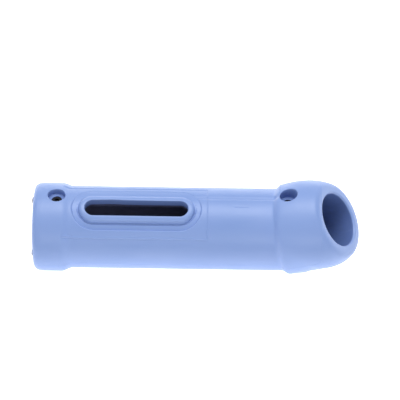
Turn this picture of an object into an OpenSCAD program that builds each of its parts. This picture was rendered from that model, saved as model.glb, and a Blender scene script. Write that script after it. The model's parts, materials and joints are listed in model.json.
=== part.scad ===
// Hand-held suction head body: a moulded tube with a hose swivel in its left end, an angled nozzle
// mouth at its right end, and a turning sleeve that opens or shuts a long relief slot.
// +X runs along the tube, +Z out through the slot, and the origin is the centre of the hose socket's mouth.

/* [Tube] */
// Outer radius of the straight tube
tube_r = 24.4; // [23.8:0.1:25]
// Radius of the bore that the relief sleeve turns in
bore_r = 19.05; // [18.9:0.05:19.2]
// Where the sleeve's bore ends and the elbow passage starts
bore_end_x = 155.5; // [155:0.1:156]

/* [Left collar] */
// Outer radius of the left collar
left_collar_r = 25.8; // [25.4:0.1:26.4]
// Length of the left collar
left_collar_len = 19; // [18:0.5:21]
// Rounding of the collar's end edge
left_collar_round = 3; // [2:0.1:4]
// Radius of the pocket that the hose swivel turns in
pocket_r = 19.7; // [19.7:0.05:19.8]
// Depth of the swivel pocket
pocket_len = 23.5; // [23.5:0.1:24]

/* [Right collar and mouth] */
// Where the tilted collar's axis leaves the tube's axis
bend_x = 147.9; // [147:0.1:149]
// Tilt of the right collar from the tube's axis, in degrees
collar_tilt = 26; // [24:0.5:27]
// Outer radius of the right collar
right_collar_r = 26.7; // [26.4:0.1:27]
// Where the right collar's edge meets the tube's axis
edge_x = 147.7; // [147:0.1:148.2]
// Lean of that edge from upright, in degrees
edge_lean = 12.7; // [11:0.1:14]
// Tilt of the mouth from the tube's axis, in degrees
mouth_tilt = 39.5; // [38:0.5:42]
// Radius of the nozzle mouth
mouth_r = 16; // [15:0.5:16.5]
// Centre of the mouth's face along the tube
mouth_x = 179.7; // [178.5:0.1:181]
// Height of the centre of the mouth's face
mouth_z = 14.8; // [14:0.1:16]
// Radius at which the nose's cone meets the mouth's face
nose_r = 21.6; // [21:0.1:22.2]
// Slope of the nose's cone, in degrees from the mouth's axis
nose_slope = 36; // [34:1:40]
// Rounding of the mouth's rim
rim_round = 2.1; // [1.5:0.1:3]

/* [Relief slot] */
// Left end of the slot
slot_x0 = 30.4; // [29.5:0.1:31]
// Right end of the slot
slot_x1 = 91; // [89:0.1:91.5]
// Half of the slot's width
slot_half = 5.2; // [5:0.1:5.8]
// Half of the raised lip's width
lip_half = 9; // [8.4:0.1:9.4]
// Outer radius of the raised lip
lip_r = 25.3; // [24.8:0.1:25.8]
// Half of the sunken panel's width
panel_half = 12.4; // [11.5:0.1:12.8]
// Radius of the sunken panel's floor
panel_r = 23.3; // [22.8:0.1:23.6]

/* [Screws] */
// Lean of both screw holes from the slot's plane, in degrees
hole_lean = 19; // [15:1:20]
// Left screw hole, from the hose end
left_hole_x = 13.7; // [13.6:0.1:14]
// Right screw hole, from the hose end
right_hole_x = 149.6; // [148:0.1:150]
// Radius of the counterbores
counterbore_r = 5.1; // [4.6:0.1:5.4]
// Radius of the screw holes
hole_r = 2.9; // [2.8:0.05:3]

/* [Hose swivel] */
// Radius of the hose socket
socket_r = 16; // [15.5:0.1:16]
// Length of the swivel inside the tube
swivel_len = 22; // [21.5:0.1:22]
// How far the spanner lugs stand out of the end
lug_out = 1.2; // [0.8:0.1:1.6]

/* [Relief sleeve] */
// Inner radius of the relief sleeve
sleeve_in_r = 16.6; // [16.4:0.1:16.8]
// Turn of the sleeve from open to shut, in degrees
sleeve_turn = 48; // [44:1:50]

/* [Hidden] */

fine = 96;                  // sides of every round shape
tall = 40;                  // long enough to pass through any wall
corner_steps = 4;           // straight steps in a rounded corner
blue = [0.60, 0.70, 0.90];
black = [0.10, 0.10, 0.12];

// Running fits
swivel_r = pocket_r - 0.08;
sleeve_r = bore_r - 0.08;

// Right collar
collar_edge = 1.6;          // rounding of the left collar's edge that meets the tube
shoulder_len = 3.4;         // cone that leads from the tube up to the right collar
shoulder_r = 23.6;          // its small end, inside the tube
shoulder_top_r = 26.4;      // its large end, inside the collar
edge_r = 25.9;              // radius of the collar's edge, which is chamfered at 45 degrees
collar_back = 20;           // the collar's bar starts this far behind the bend, before its edge is cut
collar_reach = 70;          // and it is this long, before the nose is cut
cone_len = 55;              // the nose's cone reaches back past the whole collar
tube_start = 2;             // the tube's bar starts this far inside the left collar
tube_past_bend = 8;         // the tube runs on this far inside the collar

// Elbow passage: the mouth's axis meets the tube's axis here
elbow_x = mouth_x - mouth_z / tan(mouth_tilt);
mouth_bore_len = mouth_z / sin(mouth_tilt);
mouth_chamfer = 0.6;
elbow_r = 16.3;             // radius of the short straight passage before the bend
elbow_overrun = 5;          // each bore runs this far past the bend, so that the corner is open

// Counterbore floors and the screws under them, as distances from the tube's axis
left_floor = 21.9;
right_floor = 22.0;
hole_start_r = bore_r - 3;  // the screw holes are cut from here, inside the bore
screw_r = hole_r - 0.05;
screw_gap = 0.1;            // the screws' bodies end this far outside the bores
lock_tip = 18.6;            // the tips reach in to these distances from the tube's axis
stop_tip = 17.5;
screw_sink = 0.3;           // the screws sit this far below the counterbore floors
tip_r = 1.8;
socket_af_r = 1.5;          // corner radius of the hexagon socket
socket_deep = 1.2;

// Swivel grooves
lock_groove = [11.5, 16.1]; // start and end of the lock screw's groove
lock_groove_r = 18.1;
ring_groove = [17.9, 20.1];
ring_groove_r = 17.9;
seal_groove = [4.9, 7.5];
seal_groove_r = 17.3;
seal_back = 0.3;            // the seal's lip, drawn at rest, stays this far outside the socket's wall
seal_gap = 0.1;             // clearance between the seal and each side of its groove
seal_base = 0.5;            // thickness of the seal's base
seal_land = [1, 0.4];       // the lip's flat land lies between these distances from the seal's inner side
ring_stand = 0.03;          // how far the O-rings stand out of their grooves
washer_gap = 0.1;           // clearance round the thrust washer
lug_w = 3;
lug_inset = 0.7;            // distance of the lugs from the socket's wall
lug_h = 2.3;
lug_angles = [-32, 88, 208];
o_ring_r = 0.84;            // half the thickness of the swivel's O-ring

// Sleeve
sleeve_x0 = 23.6;
sleeve_x1 = 153.3;
window_grow = 0.75;         // the window is this much larger than the slot all round
sleeve_ring_x = [26.6, 95];
sleeve_ring_r = 0.62;       // half the thickness of the sleeve's O-rings
sleeve_groove_half = 0.85;
sleeve_groove_r = 17.7;
waist = [99, 142];          // relieved stretch that doesn't rub in the bore
waist_r = 18.5;
waist_slope = 0.5;
grip_x = [32.5, 88];
grip_half = 4.7;
grip_floor_r = 17.7;
grip_gap = 0.1;             // clearance round the grip
grip_thick = 0.6;           // thickness of the grip's pad
pad_lift = 0.02;            // the pad's underside stays this far off the pocket's floor
rib_step = 5.2;             // degrees between the grip's ribs
rib_size = [0.9, 0.85];     // width and height of a rib
rib_foot = 0.3;             // the ribs start this far above the pocket's floor, inside the pad
rib_margin = 2.5;           // the middle rib ends this far from the pad's ends
stop_half = 2.1;            // half the width of the stop groove
stop_floor_r = 17.1;
stop_room = 6.3;            // degrees from the screw's axis to the end of the groove it stops against

// Wave washer
wave_x = 154.4;
wave_rise = 0.55;
wave_count = 3;
wave_thick = 0.4;
wave_rings = [16.9, 18.85];

// Turns a shape drawn along +Z so that it lies along +X, starting at x
module along_x(x = 0) {
    translate([x, 0, 0]) rotate([0, 90, 0]) children();
}

// Solid of revolution about the tube's axis: points are [radius, x]
module revolve_x(points) {
    along_x() rotate_extrude($fn = fine) polygon(points);
}

// Points of a rounded corner, between two angles
function corner(x, y, r, from, to) =
    [for (i = [0 : corner_steps])
        let (a = from + (to - from) * i / corner_steps)
        [x + r * cos(a), y + r * sin(a)]];

// Round bar with rounded end edges, along +Z
module rounded_bar(r, len, round_start, round_end) {
    rotate_extrude($fn = fine) polygon([[0, 0], each corner(r - round_start, round_start, round_start, -90, 0),
        each corner(r - round_end, len - round_end, round_end, 0, 90), [0, len]]);
}

// Round-ended outline about the slot's centre line
module slot_outline(x0, x1, half, end_r) {
    translate([x0 + end_r, -half]) square([x1 - x0 - 2 * end_r, 2 * half]);
    for (x = [x0 + end_r, x1 - end_r]) translate([x, 0]) circle(half, $fn = fine);
}

// The slot's outline grown by an amount and drawn up through the wall
module slot_prism(grow) {
    linear_extrude(tall) slot_outline(slot_x0, slot_x1, slot_half + grow, slot_half);
}

// Places a shape drawn along +Z on the line of a screw, at x
module at_screw(x, lean = hole_lean) {
    translate([x, 0, 0]) rotate([-lean, 0, 0]) children();
}

// Places a shape drawn along +Z on the right collar's own axis, s along it
module on_collar(s = 0) {
    translate([bend_x, 0, 0]) rotate([0, 90 - collar_tilt, 0]) translate([0, 0, s]) children();
}

// Places a shape drawn along +Z on the mouth's axis, s from its face
module on_mouth(s = 0) {
    translate([mouth_x, 0, mouth_z]) rotate([0, 90 - mouth_tilt, 0]) translate([0, 0, s]) children();
}

// Places a shape drawn along +Z square to the right collar's leaning edge
module on_edge(s = 0) {
    translate([edge_x, 0, 0]) rotate([0, 90 - edge_lean, 0]) translate([0, 0, s]) children();
}

// Cone about the mouth's axis that narrows to the rounded rim of the mouth
module nose_cone() {
    rim_centre_r = nose_r + rim_round * ((1 - sin(nose_slope)) * tan(nose_slope) - cos(nose_slope));
    on_mouth(-cone_len) rotate_extrude($fn = fine)
        polygon([[0, 0], [nose_r + cone_len * tan(nose_slope), 0],
                 each corner(rim_centre_r, cone_len - rim_round, rim_round, nose_slope, 90), [0, cone_len]]);
}

module right_collar() {
    on_edge(-shoulder_len) cylinder(h = shoulder_len + 1, r1 = shoulder_r, r2 = shoulder_top_r, $fn = fine);
    intersection() {
        on_collar(-collar_back) cylinder(h = collar_reach, r = right_collar_r, $fn = fine);
        on_edge() cylinder(h = collar_reach, r1 = edge_r, r2 = edge_r + collar_reach, $fn = fine);
        nose_cone();
    }
}

module housing_outside() {
    along_x(tube_start) cylinder(h = bend_x - tube_start + tube_past_bend, r = tube_r, $fn = fine);
    along_x() rounded_bar(left_collar_r, left_collar_len, left_collar_round, collar_edge);
    right_collar();
}

// Raised lip round the slot, cut to the tube's roundness
module slot_lip() {
    intersection() {
        slot_prism(lip_half - slot_half);
        along_x() cylinder(h = bend_x, r = lip_r, $fn = fine);
    }
}

module sunken_panel() {
    difference() {
        slot_prism(panel_half - slot_half);
        along_x(-1) cylinder(h = bend_x, r = panel_r, $fn = fine);
    }
}

module screw_hole(x, floor_r) {
    at_screw(x) {
        translate([0, 0, floor_r]) cylinder(h = tall, r = counterbore_r, $fn = fine);
        translate([0, 0, hole_start_r]) cylinder(h = tall, r = hole_r, $fn = fine);
    }
}

module housing() {
    color(blue) difference() {
        union() {
            difference() {
                housing_outside();
                sunken_panel();
            }
            slot_lip();
        }
        slot_prism(0);
        along_x(-1) cylinder(h = pocket_len + 1, r = pocket_r, $fn = fine);
        along_x() cylinder(h = bore_end_x, r = bore_r, $fn = fine);
        along_x(bore_end_x - 1) cylinder(h = elbow_x - bore_end_x + 1 + elbow_overrun, r = elbow_r, $fn = fine);
        on_mouth(-mouth_bore_len - elbow_overrun)
            cylinder(h = mouth_bore_len + elbow_overrun + 1, r = mouth_r, $fn = fine);
        on_mouth(-mouth_chamfer)
            cylinder(h = 2 * mouth_chamfer, r1 = mouth_r, r2 = mouth_r + 2 * mouth_chamfer, $fn = fine);
        screw_hole(left_hole_x, left_floor);
        screw_hole(right_hole_x, right_floor);
    }
}

module hose_swivel() {
    color(black) {
        revolve_x([[socket_r, 0], [swivel_r, 0],
                   [swivel_r, lock_groove[0]], [lock_groove_r, lock_groove[0]],
                   [lock_groove_r, lock_groove[1]], [swivel_r, lock_groove[1]],
                   [swivel_r, ring_groove[0]], [ring_groove_r, ring_groove[0]],
                   [ring_groove_r, ring_groove[1]], [swivel_r, ring_groove[1]],
                   [swivel_r, swivel_len], [socket_r, swivel_len],
                   [socket_r, seal_groove[1]], [seal_groove_r, seal_groove[1]],
                   [seal_groove_r, seal_groove[0]], [socket_r, seal_groove[0]]]);
        for (a = lug_angles) rotate([a, 0, 0])
            translate([-lug_out, -lug_w / 2, socket_r + lug_inset]) cube([lug_out + 1, lug_w, lug_h]);
    }
}

// Lip ring that grips the hose cuff
module cuff_seal() {
    x0 = seal_groove[0] + seal_gap;
    x1 = seal_groove[1] - seal_gap;
    outer = seal_groove_r - seal_gap / 2;
    base = seal_groove_r - seal_base;
    lip = socket_r + seal_back;
    color("dimgray") revolve_x([[outer, x0], [outer, x1], [base, x1],
                                [lip, x1 - seal_land[1]], [lip, x1 - seal_land[0]], [base, x0]]);
}

module ring(x, centre_r, r) {
    along_x(x) rotate_extrude($fn = fine) translate([centre_r, 0]) circle(r, $fn = 48);
}

module swivel_o_ring() {
    color("dimgray") ring((ring_groove[0] + ring_groove[1]) / 2, swivel_r + ring_stand - o_ring_r, o_ring_r);
}

module swivel_thrust_washer() {
    color("ivory") along_x(swivel_len + washer_gap) difference() {
        cylinder(h = pocket_len - swivel_len - 2 * washer_gap, r = pocket_r - washer_gap, $fn = fine);
        translate([0, 0, -1]) cylinder(h = tall, r = sleeve_in_r + 2 * washer_gap, $fn = fine);
    }
}

// Dog-point set screw: its body stays in the wall and its tip reaches in to tip_to
module set_screw(body_from, body_to, tip_to) {
    difference() {
        union() {
            translate([0, 0, body_from]) cylinder(h = body_to - body_from, r = screw_r, $fn = 48);
            translate([0, 0, tip_to]) cylinder(h = body_to - tip_to, r = tip_r, $fn = 48);
        }
        translate([0, 0, body_to - socket_deep]) cylinder(h = 2 * socket_deep, r = socket_af_r, $fn = 6);
    }
}

module swivel_lock_screw() {
    color("slategray") at_screw(left_hole_x) set_screw(pocket_r + screw_gap, left_floor - screw_sink, lock_tip);
}

module sleeve_stop_screw() {
    color("slategray") at_screw(right_hole_x) set_screw(bore_r + screw_gap, right_floor - screw_sink, stop_tip);
}

// Blind groove round the sleeve that the stop screw's tip runs in
module stop_groove() {
    along_x(right_hole_x - stop_half) rotate([0, 0, 180 - hole_lean - sleeve_turn - stop_room])
        rotate_extrude(angle = sleeve_turn + 2 * stop_room, $fn = fine)
            translate([stop_floor_r, 0]) square([bore_r - stop_floor_r, 2 * stop_half]);
}

// Outline of the thumb grip, turned to the side where it waits while the slot is open
module grip_prism(grow) {
    rotate([-sleeve_turn, 0, 0]) linear_extrude(tall)
        slot_outline(grip_x[0] - grow, grip_x[1] + grow, grip_half + grow, grip_half + grow);
}

module relief_sleeve() {
    color(black) difference() {
        revolve_x([[sleeve_in_r, sleeve_x0], [sleeve_r, sleeve_x0],
                   for (x = sleeve_ring_x) each [[sleeve_r, x - sleeve_groove_half],
                       [sleeve_groove_r, x - sleeve_groove_half], [sleeve_groove_r, x + sleeve_groove_half],
                       [sleeve_r, x + sleeve_groove_half]],
                   [sleeve_r, waist[0]], [waist_r, waist[0] + waist_slope], [waist_r, waist[1] - waist_slope],
                   [sleeve_r, waist[1]], [sleeve_r, sleeve_x1], [sleeve_in_r, sleeve_x1]]);
        slot_prism(window_grow);
        difference() {
            grip_prism(grip_gap);
            along_x(sleeve_x0) cylinder(h = sleeve_x1 - sleeve_x0, r = grip_floor_r, $fn = fine);
        }
        stop_groove();
    }
}

module thumb_grip() {
    color("dimgray") {
        intersection() {
            grip_prism(0);
            along_x(sleeve_x0) difference() {
                cylinder(h = waist[0] - sleeve_x0, r = grip_floor_r + grip_thick, $fn = fine);
                translate([0, 0, -1]) cylinder(h = waist[0], r = grip_floor_r + pad_lift, $fn = fine);
            }
        }
        for (k = [-2 : 2]) rotate([-sleeve_turn - k * rib_step, 0, 0])
            translate([grip_x[0] + rib_margin + abs(k), -rib_size[0] / 2, grip_floor_r + rib_foot])
                cube([grip_x[1] - grip_x[0] - 2 * (rib_margin + abs(k)), rib_size[0], rib_size[1]]);
    }
}

module sleeve_o_ring(x) {
    color("dimgray") ring(x, sleeve_r + ring_stand - sleeve_ring_r, sleeve_ring_r);
}

// Thin spring ring that waves to and fro along the tube's axis
module wave_washer() {
    steps = 72;
    points = [for (k = [0 : steps - 1], c = [0 : 3])
        let (a = 360 * k / steps,
             r = wave_rings[c == 0 || c == 3 ? 0 : 1],
             x = wave_x + wave_rise * sin(wave_count * a) + (c < 2 ? -0.5 : 0.5) * wave_thick)
        [x, r * sin(a), r * cos(a)]];
    faces = [for (k = [0 : steps - 1], c = [0 : 3])
        let (n = (k + 1) % steps, d = (c + 1) % 4)
        each [[4 * k + c, 4 * n + c, 4 * n + d], [4 * k + c, 4 * n + d, 4 * k + d]]];
    color("silver") polyhedron(points, faces, convexity = 6);
}

housing();
hose_swivel();
cuff_seal();
swivel_o_ring();
swivel_thrust_washer();
swivel_lock_screw();
relief_sleeve();
thumb_grip();
sleeve_o_ring(sleeve_ring_x[0]);  // sleeve_o_ring_left
sleeve_o_ring(sleeve_ring_x[1]);  // sleeve_o_ring_right
sleeve_stop_screw();
wave_washer();
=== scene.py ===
"""Looks for the hand-held suction head body.

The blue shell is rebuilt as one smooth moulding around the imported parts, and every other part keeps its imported
shape and gets its material here. Lengths are in millimetres in the shape functions and in metres in Blender."""

import json
import math

import bpy
import numpy as np
import openvdb
from mathutils import Matrix, Vector


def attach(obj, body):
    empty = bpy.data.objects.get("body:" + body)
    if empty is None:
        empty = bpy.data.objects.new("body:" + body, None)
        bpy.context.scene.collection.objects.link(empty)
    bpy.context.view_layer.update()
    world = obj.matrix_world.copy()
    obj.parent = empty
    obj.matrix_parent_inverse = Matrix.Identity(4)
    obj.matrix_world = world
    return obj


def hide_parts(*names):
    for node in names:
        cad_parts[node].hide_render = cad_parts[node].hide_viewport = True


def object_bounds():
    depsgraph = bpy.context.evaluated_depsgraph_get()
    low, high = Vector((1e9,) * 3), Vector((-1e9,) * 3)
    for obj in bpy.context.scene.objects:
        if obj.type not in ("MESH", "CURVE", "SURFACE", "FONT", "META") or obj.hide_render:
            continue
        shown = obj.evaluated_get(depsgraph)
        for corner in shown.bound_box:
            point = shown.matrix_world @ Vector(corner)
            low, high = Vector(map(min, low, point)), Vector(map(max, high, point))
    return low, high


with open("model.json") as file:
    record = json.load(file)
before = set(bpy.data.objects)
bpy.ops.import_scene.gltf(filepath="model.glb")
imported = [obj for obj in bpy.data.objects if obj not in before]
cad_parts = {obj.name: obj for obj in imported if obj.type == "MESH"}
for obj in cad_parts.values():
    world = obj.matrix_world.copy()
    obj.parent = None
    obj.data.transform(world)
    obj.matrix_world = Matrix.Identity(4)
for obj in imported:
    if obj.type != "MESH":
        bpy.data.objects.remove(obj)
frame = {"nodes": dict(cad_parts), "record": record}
cad_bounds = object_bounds()

MM = 0.001
VOXEL = 0.45

# ---------------------------------------------------------------- the shell's driving dimensions
# Fitted to the object's outline, so some differ from the CAD's by a few tenths of a millimetre.
TUBE_R = 24.37
LEFT_COLLAR_R = 25.75
LEFT_COLLAR_LEN = 19.0
COLLAR_X = 147.86  # where the right collar's axis leaves the tube's
COLLAR_TILT = math.radians(26)
RIGHT_COLLAR_R = 26.94
COLLAR_FLARE = 0.03
COLLAR_EDGE = 147.7
EDGE_LEAN = math.radians(12.7)
NOSE_R = 21.6  # radius of the nose cone where it meets the mouth's face
NOSE_SLOPE = math.radians(36.3)
MOUTH_TILT = math.radians(39.5)
MOUTH_R = 16.0
MOUTH_X, MOUTH_Z = 179.7, 14.8
MOUTH_CHAMFER = 0.9
SLOT_X0, SLOT_X1 = 30.4, 91.0
SLOT_HALF = 5.0
SLOT_Y = 0.45
LIP_HALF = 8.7
LIP_R = 25.3
PANEL_HALF = 12.4
PANEL_R = 23.3
HOLE_LEAN = math.radians(19)
HOLES = ((13.7, 21.9), (149.6, 22.0))  # for each: place along the tube, distance of its floor from the axis
COUNTERBORE_R = 5.1
HOLE_R = 2.95
POCKET_R, POCKET_LEN = 19.8, 23.5  # the bores are a little wider than the CAD's, so that no face rubs
BORE_R, BORE_END = 19.15, 155.5
ELBOW_R = 16.35
LEFT_COLLAR_SHIFT = 0.4  # the left collar stands this far off the tube's axis
SLIDE_LEAN = 41.5  # half of the mould slide's outline, in degrees round the tube
SLIDE_X0, SLIDE_X1 = 17.0, 102.6
CREASE_LEAN = 21  # where the soft crease lies, in degrees round the tube
DASH_X0, DASH_X1, DASH_Y = 117.7, 126.6, 2.6
GRID_LOW, GRID_HIGH = (-3, -30, -30), (199, 30, 37)
MOST_TRIANGLES = 170000


# ---------------------------------------------------------------- distance functions
def blend_min(a, b, k):
    """Union of two shapes with a fillet of about k."""
    h = np.clip(0.5 + 0.5 * (b - a) / k, 0, 1)
    return b + (a - b) * h - k * h * (1 - h)


def blend_max(a, b, k):
    """Intersection of two shapes with an edge rounded by about k."""
    return -blend_min(-a, -b, k)


def capped(radial, axial, rounding):
    """A bar from its distance outside its side and outside its ends, with rounded end edges."""
    a, b = radial + rounding, axial + rounding
    return np.minimum(np.maximum(a, b), 0) + np.hypot(np.maximum(a, 0), np.maximum(b, 0)) - rounding


def bar(s, r, s0, s1, radius, rounding):
    return capped(r - radius, np.abs(s - (s0 + s1) / 2) - (s1 - s0) / 2, rounding)


def along(x, y, z, ox, oz, tilt):
    """Distance along, and from, an axis through (ox, 0, oz) that is tilted up from the tube's axis."""
    c, s = math.cos(tilt), math.sin(tilt)
    return (x - ox) * c + (z - oz) * s, np.hypot((z - oz) * c - (x - ox) * s, y)


def slot_outline(x, y, half):
    """Distance outside a round-ended outline about the slot's centre line."""
    middle = np.clip(x, SLOT_X0 + SLOT_HALF, SLOT_X1 - SLOT_HALF)
    return np.hypot(x - middle, y - SLOT_Y) - half


def outside(x, y, z):
    r = np.hypot(y, z)
    tube = bar(x, r, 4, 162, TUBE_R, 2)
    left = bar(x, np.hypot(y + LEFT_COLLAR_SHIFT, z), 0, LEFT_COLLAR_LEN, LEFT_COLLAR_R, 3.0)
    d = blend_min(tube, left, 4.5)
    s, rs = along(x, y, z, COLLAR_X, 0, COLLAR_TILT)
    right = rs - RIGHT_COLLAR_R - COLLAR_FLARE * (s - 12)
    edge = (COLLAR_EDGE - x) * math.cos(EDGE_LEAN) - z * math.sin(EDGE_LEAN)
    right = blend_max(right, edge, 2.6)
    m, rm = along(x, y, z, MOUTH_X, MOUTH_Z, MOUTH_TILT)
    cone = (rm - NOSE_R) * math.cos(NOSE_SLOPE) + m * math.sin(NOSE_SLOPE)
    right = blend_max(blend_max(right, cone, 6), m, 2.2)
    return blend_min(d, right, 3.2)


def hollow(x, y, z):
    """Everything that is cut out of the moulding along its length."""
    r = np.hypot(y, z)
    s, rs = along(x, y, z, MOUTH_X, MOUTH_Z, MOUTH_TILT)
    back = -MOUTH_Z / math.sin(MOUTH_TILT) - 5.3
    d = blend_min(bar(x, r, -5, 166.7, ELBOW_R, 0.2), bar(s, rs, back, 5, MOUTH_R, 0.2), 1.5)
    d = np.minimum(d, bar(x, r, -5, BORE_END, BORE_R, 0.2))
    return np.minimum(d, bar(x, r, -5, POCKET_LEN, POCKET_R, 0.1))


def mouth_chamfer(x, y, z):
    s, rs = along(x, y, z, MOUTH_X, MOUTH_Z, MOUTH_TILT)
    return np.maximum((rs - MOUTH_R - MOUTH_CHAMFER - s) / math.sqrt(2), -s - 4)


def screw_holes(x, y, z):
    d = 1e3
    for hole_x, floor in HOLES:
        a = y * math.sin(HOLE_LEAN) + z * math.cos(HOLE_LEAN)
        b = y * math.cos(HOLE_LEAN) - z * math.sin(HOLE_LEAN)
        q = np.hypot(x - hole_x, b)
        d = np.minimum(d, np.minimum(np.maximum(q - COUNTERBORE_R, floor - a), np.maximum(q - HOLE_R, 10 - a)))
    return d


def line(across, start, end, width):
    """How strongly a point lies on a fine moulded line, from its distance across the line and from its ends."""
    return np.exp(-((across / width) ** 2)) * np.clip(-start / 0.4, 0, 1) * np.clip(-end / 0.4, 0, 1)


def fine_relief(x, y, z):
    """Height of the mould's marks: its parting line, the slide's outline, a dash and a soft crease."""
    lean = np.degrees(np.arctan2(y, z))
    arc = np.radians(lean) * TUBE_R
    bend = np.maximum(x - COLLAR_X, 0) * math.tan(COLLAR_TILT)
    height = 0.13 * line(z - bend, -x - 1, x - 169, 0.22)
    from_slide = np.abs(arc) - math.radians(SLIDE_LEAN) * TUBE_R
    step = 0.9 * np.clip((24 - x) / 4, 0, 1)
    height = height + 0.3 * line(from_slide + step, SLIDE_X0 - x, x - SLIDE_X1, 0.45)
    height = height - 0.1 * line(from_slide + step - 0.85, SLIDE_X0 - x, x - SLIDE_X1, 0.35)
    height = height + 0.2 * line(x - 102.4, from_slide, -1, 0.3)
    height = height - 0.12 * line(x - 101.7, from_slide, -1, 0.3)
    height = height - 0.20 * line(arc - DASH_Y, DASH_X0 - x, x - DASH_X1, 0.35)
    height = height + 0.10 * line(x - 168.9, 16 - np.hypot(y, z), -1, 0.3)
    height = height + 0.25 * line(x - 146.8 + 0.1 * z, 12 - y, y - 22, 0.35) * (z > 0)
    ends = np.clip((x - 90) / 8, 0, 1) * np.clip((147 - x) / 5, 0, 1)
    return height - 0.5 * np.exp(-(((lean - CREASE_LEAN) / 3.4) ** 2)) * ends


def shell(x, y, z):
    """Signed distance to the whole moulding: negative inside the plastic."""
    r = np.hypot(y, z)
    below = -z
    d = outside(x, y, z) - fine_relief(x, y, z)
    floor = PANEL_R + 0.085 * np.clip(y + 2, 0, 14)
    panel = np.maximum(np.maximum(slot_outline(x, y, PANEL_HALF), floor - r), below)
    d = blend_max(d, -panel, 1.2)
    lip = np.maximum(np.maximum(blend_max(slot_outline(x, y, LIP_HALF), r - LIP_R, 2.6), 18 - r), below)
    floor = floor - 0.8 * np.clip((7 - y) / 9, 0, 1)
    foot = np.maximum(np.maximum(np.abs(slot_outline(x, y, LIP_HALF + 0.4)) - 0.5, floor + 0.25 - r), below)
    d = blend_max(d, -foot, 0.4)
    d = blend_min(d, lip, 0.4)
    half = SLOT_HALF + (0.35 * np.exp(-(((x - 46) / 7) ** 2)) - 0.1) * (y > 0)
    d = blend_max(d, -np.maximum(slot_outline(x, y, half), below), 0.7)
    d = blend_max(d, -hollow(x, y, z), 0.7)
    d = blend_max(d, -mouth_chamfer(x, y, z), 0.3)
    return blend_max(d, -screw_holes(x, y, z), 0.5)


def mesh_from_distance(name, distance, low, high):
    """Closed mesh of the surface where distance is zero, with its corners moved onto it exactly."""
    count = [int(math.ceil((b - a) / VOXEL)) + 1 for a, b in zip(low, high)]
    axes = [(a + VOXEL * np.arange(n)).astype(np.float32) for a, n in zip(low, count)]
    field = np.empty(count, np.float32)
    for i in range(0, count[0], 40):
        x, y, z = np.meshgrid(axes[0][i : i + 40], axes[1], axes[2], indexing="ij", sparse=True)
        field[i : i + 40] = distance(x, y, z)
    grid = openvdb.FloatGrid(3.0)
    grid.copyFromArray(np.clip(field, -3, 3))
    points, triangles, quads = grid.convertToPolygons(isovalue=0.0, adaptivity=0.0)
    co = onto_surface(distance, points.astype(np.float64) * VOXEL + np.array(low))
    mesh = bpy.data.meshes.new(name)
    mesh.from_pydata((co * MM).tolist(), [], quads.tolist() + triangles.tolist())
    return mesh


def onto_surface(distance, co):
    for _ in range(3):
        value, normal = value_and_normal(distance, co)
        co = co - normal * np.clip(value, -0.2, 0.2)[:, None]
    return co


def corners(mesh):
    co = np.empty(len(mesh.vertices) * 3)
    mesh.vertices.foreach_get("co", co)
    return co.reshape(-1, 3)


def thin_out(obj, most):
    """Merge the mesh's faces, flat stretches first, until no more than `most` triangles are left."""
    triangles = sum(len(p.vertices) - 2 for p in obj.data.polygons)
    if triangles > most:
        modifier = obj.modifiers.new("thin_out", "DECIMATE")
        modifier.ratio = most / triangles
        depsgraph = bpy.context.evaluated_depsgraph_get()
        mesh = bpy.data.meshes.new_from_object(obj.evaluated_get(depsgraph))
        obj.modifiers.clear()
        mesh.name = obj.data.name
        obj.data = mesh


def add_attribute(mesh, name, values):
    mesh.attributes.new(name, "FLOAT", "POINT").data.foreach_set("value", np.asarray(values, np.float32))


def value_and_normal(distance, co):
    x, y, z = co[:, 0], co[:, 1], co[:, 2]
    value = distance(x, y, z)
    step = 0.02
    slope = np.stack([
        distance(x + step, y, z) - distance(x - step, y, z),
        distance(x, y + step, z) - distance(x, y - step, z),
        distance(x, y, z + step) - distance(x, y, z - step),
    ], -1) / (2 * step)
    length = np.linalg.norm(slope, axis=1, keepdims=True)
    return value / np.maximum(length[:, 0], 0.5), slope / np.maximum(length, 1e-6)


# ---------------------------------------------------------------- shell
def add_object(name, mesh, material):
    obj = bpy.data.objects.new(name, mesh)
    bpy.context.scene.collection.objects.link(obj)
    obj.data.materials.clear()
    obj.data.materials.append(material)
    return obj


def shell_piece(material):
    mesh = mesh_from_distance("shell_moulding", shell, GRID_LOW, GRID_HIGH)
    piece = add_object("shell_moulding", mesh, material)
    thin_out(piece, MOST_TRIANGLES)
    mesh = piece.data
    co = onto_surface(shell, corners(mesh) / MM)
    mesh.vertices.foreach_set("co", (co * MM).ravel())
    x, y, z = co.T
    depth = -outside(x, y, z)
    # Painted shade inside the bores: this mask is 1 on the bores' inner walls, and the blue material darkens them
    # there in place of the shade deep inside the tube and mouth.
    add_attribute(mesh, "bore_painted_shade", np.clip((0.15 - hollow(x, y, z)) / 0.3, 0, 1))
    # Painted shade in the recesses: this mask grows with depth below the outer surface, and the blue material uses
    # it to darken the sunken panel and the grooves round the lip.
    add_attribute(mesh, "recess_painted_shade", np.clip((depth - 0.9) / 1.5, 0, 1))
    mesh.update()
    mesh.polygons.foreach_set("use_smooth", [True] * len(mesh.polygons))
    _, normal = value_and_normal(shell, co)
    mesh.normals_split_custom_set_from_vertices(normal.tolist())
    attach(piece, "shell")
    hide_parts("housing")


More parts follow.
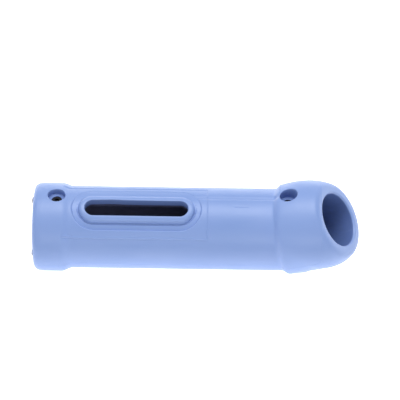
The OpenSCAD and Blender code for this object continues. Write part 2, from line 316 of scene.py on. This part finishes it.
# ---------------------------------------------------------------- materials
class Surface:
    """A material whose colour, roughness and bump come from layers of procedural noise."""

    def __init__(self, name, color, roughness, metallic=0.0):
        self.material = bpy.data.materials.new(name)
        self.material.use_nodes = True
        self.tree = self.material.node_tree
        self.shader = self.tree.nodes["Principled BSDF"]
        self.shader.inputs["Metallic"].default_value = metallic
        self.place = self.node("ShaderNodeTexCoord").outputs["Object"]
        self.color = (*color, 1)
        self.shader.inputs["Base Color"].default_value = self.color
        self.shader.inputs["Roughness"].default_value = roughness
        self.roughness = roughness
        self.bumped = None

    def node(self, kind, **settings):
        node = self.tree.nodes.new(kind)
        for name, value in settings.items():
            setattr(node, name, value)
        return node

    def link(self, output, target):
        self.tree.links.new(output, target)

    def noise(self, scale, detail=3.0, stretch=(1, 1, 1)):
        mapping = self.node("ShaderNodeMapping")
        mapping.inputs["Scale"].default_value = stretch
        self.link(self.place, mapping.inputs["Vector"])
        noise = self.node("ShaderNodeTexNoise")
        noise.inputs["Scale"].default_value = scale
        noise.inputs["Detail"].default_value = detail
        self.link(mapping.outputs["Vector"], noise.inputs["Vector"])
        return noise.outputs["Fac"]

    def attribute(self, name):
        return self.node("ShaderNodeAttribute", attribute_name=name).outputs["Fac"]

    def range(self, value, low, high, out_low, out_high):
        node = self.node("ShaderNodeMapRange")
        for name, number in zip(("From Min", "From Max", "To Min", "To Max"), (low, high, out_low, out_high)):
            node.inputs[name].default_value = number
        self.link(value, node.inputs["Value"])
        return node.outputs["Result"]

    def tint(self, factor, color):
        """Mix another colour over the base colour by factor."""
        mix = self.node("ShaderNodeMix", data_type="RGBA")
        base = self.shader.inputs["Base Color"]
        if base.is_linked:
            self.link(base.links[0].from_socket, mix.inputs["A"])
        else:
            mix.inputs["A"].default_value = self.color
        mix.inputs["B"].default_value = (*color, 1)
        self.link(factor, mix.inputs["Factor"])
        self.link(mix.outputs["Result"], base)

    def rough(self, value, low, high, spread):
        result = self.range(value, low, high, self.roughness - spread, self.roughness + spread)
        self.link(result, self.shader.inputs["Roughness"])

    def bump(self, height, distance, strength=1.0):
        bump = self.node("ShaderNodeBump")
        bump.inputs["Distance"].default_value = distance
        bump.inputs["Strength"].default_value = strength
        self.link(height, bump.inputs["Height"])
        if self.bumped:
            self.link(self.bumped, bump.inputs["Normal"])
        self.bumped = bump.outputs["Normal"]
        self.link(self.bumped, self.shader.inputs["Normal"])


def blue_plastic():
    s = Surface("satin_blue_plastic", (0.25, 0.37, 0.725), 0.4)
    cloud = s.noise(28, 2)
    s.tint(s.range(cloud, 0.42, 0.66, 0, 0.55), (0.222, 0.343, 0.695))
    flow = s.noise(60, 3, (0.25, 1, 1))
    s.tint(s.range(flow, 0.5, 0.7, 0, 0.3), (0.283, 0.405, 0.745))
    # Painted shade: the recessed panel and grooves are darkened, more the deeper they sit below the outer surface.
    s.tint(s.range(s.attribute("recess_painted_shade"), 0, 1, 0, 0.35), (0.11, 0.19, 0.47))
    # Painted shade: the inner walls of the bores are darkened to deep navy, standing in for the shade deep inside
    # the tube and mouth.
    s.tint(s.range(s.attribute("bore_painted_shade"), 0, 1, 0, 0.92), (0.012, 0.038, 0.2))
    s.rough(s.noise(90, 3), 0.3, 0.7, 0.05)
    s.bump(s.noise(900, 3), 0.00006)
    s.bump(s.noise(110, 2), 0.00012)
    return s.material


def black_plastic():
    s = Surface("black_moulded_plastic", (0.15, 0.155, 0.25), 0.42)
    s.tint(s.range(s.noise(70, 3), 0.45, 0.7, 0, 0.6), (0.11, 0.115, 0.19))
    s.rough(s.noise(240, 3), 0.3, 0.7, 0.07)
    s.bump(s.noise(1600, 2), 0.00005)
    return s.material


def black_rubber():
    s = Surface("black_rubber", (0.022, 0.022, 0.024), 0.62)
    s.tint(s.range(s.noise(900, 4), 0.58, 0.75, 0, 0.5), (0.06, 0.06, 0.062))
    s.rough(s.noise(500, 3), 0.3, 0.7, 0.08)
    s.bump(s.noise(2600, 2), 0.00003)
    return s.material


def grip_rubber():
    s = Surface("ribbed_grip_rubber", (0.075, 0.08, 0.09), 0.7)
    s.tint(s.range(s.noise(400, 4), 0.55, 0.75, 0, 0.5), (0.13, 0.135, 0.145))
    s.rough(s.noise(700, 3), 0.3, 0.7, 0.08)
    s.bump(s.noise(3200, 2), 0.00005)
    return s.material


def slippery_washer():
    s = Surface("waxy_white_plastic", (0.78, 0.76, 0.69), 0.35)
    s.tint(s.range(s.noise(300, 3), 0.45, 0.7, 0, 0.5), (0.68, 0.655, 0.57))
    s.rough(s.noise(500, 2), 0.3, 0.7, 0.06)
    s.bump(s.noise(1800, 2), 0.00003)
    return s.material


def dark_screw():
    s = Surface("black_oxide_steel", (0.045, 0.045, 0.05), 0.38, 0.9)
    s.tint(s.range(s.noise(1500, 4), 0.52, 0.7, 0, 0.7), (0.11, 0.105, 0.1))
    s.rough(s.noise(2000, 3), 0.3, 0.7, 0.1)
    s.bump(s.noise(4000, 2), 0.00002)
    return s.material


def spring_steel():
    s = Surface("rolled_spring_steel", (0.5, 0.5, 0.51), 0.28, 1.0)
    s.tint(s.range(s.noise(260, 4, (1, 1, 8)), 0.45, 0.7, 0, 0.6), (0.36, 0.36, 0.37))
    s.rough(s.noise(900, 3, (1, 1, 6)), 0.3, 0.7, 0.08)
    s.bump(s.noise(2500, 2, (1, 1, 6)), 0.00002)
    return s.material


# ---------------------------------------------------------------- camera, light and floor
def add_camera():
    """Camera that looks down across the tube with a long lens, turned a little about its own axis."""
    distance, elevation, roll = 1086.65, math.radians(62.79), math.radians(0.85)
    back = Vector((0, -math.cos(elevation), math.sin(elevation)))
    level = Vector((1, 0, 0))
    rise = back.cross(level)
    right = level * math.cos(roll) + rise * math.sin(roll)
    up = rise * math.cos(roll) - level * math.sin(roll)
    target = Vector((98.025, 0, 0)) + up * 16.886
    camera = bpy.data.objects.new("camera", bpy.data.cameras.new("camera"))
    bpy.context.scene.collection.objects.link(camera)
    rotation = Matrix((right, up, back)).transposed().to_4x4()
    camera.matrix_world = Matrix.Translation((target + back * distance) * MM) @ rotation
    camera.data.sensor_width = 36
    camera.data.lens = 1.679 * distance / 400 * camera.data.sensor_width
    camera.data.clip_start, camera.data.clip_end = 0.01, 20
    bpy.context.scene.camera = camera


def add_softbox(name, place, aim, width, height, power):
    light = bpy.data.lights.new(name, "AREA")
    light.shape = "RECTANGLE"
    light.size, light.size_y, light.energy = width, height, power
    obj = bpy.data.objects.new(name, light)
    bpy.context.scene.collection.objects.link(obj)
    obj.location = place
    obj.rotation_euler = (Vector(aim) - Vector(place)).to_track_quat("-Z", "Y").to_euler()


def add_world(strength):
    world = bpy.data.worlds.new("studio")
    world.use_nodes = True
    world.node_tree.nodes["Background"].inputs["Color"].default_value = (1, 1, 1, 1)
    world.node_tree.nodes["Background"].inputs["Strength"].default_value = strength
    bpy.context.scene.world = world


def add_floor():
    """Evenly lit white table that the object lies on."""
    material = bpy.data.materials.new("lit_white_table")
    material.use_nodes = True
    shader = material.node_tree.nodes["Principled BSDF"]
    shader.inputs["Base Color"].default_value = (0.9, 0.9, 0.9, 1)
    shader.inputs["Roughness"].default_value = 0.9
    shader.inputs["Emission Color"].default_value = (1, 1, 1, 1)
    shader.inputs["Emission Strength"].default_value = 1.0
    size, height = 2.5, cad_bounds[0].z
    corners = [(sx * size, sy * size, height) for sx, sy in ((-1, -1), (1, -1), (1, 1), (-1, 1))]
    mesh = bpy.data.meshes.new("floor")
    mesh.from_pydata(corners, [], [(0, 1, 2, 3)])
    floor = add_object("floor", mesh, material)


bpy.context.scene.view_settings.view_transform = "Standard"
add_camera()
add_floor()
add_world(0.36)
add_softbox("overhead", (0.1, 0.38, 0.8), (0.1, 0, 0), 0.9, 0.4, 6.2)
add_softbox("front", (0.1, -0.75, 0.5), (0.1, 0, 0), 0.9, 0.25, 1.7)

shell_piece(blue_plastic())
FINISHES = {
    "black_plastic": black_plastic(),
    "black_rubber": black_rubber(),
    "grip_rubber": grip_rubber(),
    "slippery_washer": slippery_washer(),
    "dark_screw": dark_screw(),
    "spring_steel": spring_steel(),
}
for part in frame["record"]["subparts"]:
    if part["node"] != "housing":
        mesh = frame["nodes"][part["node"]].data
        mesh.materials.clear()
        mesh.materials.append(FINISHES[part["material_slot"]])
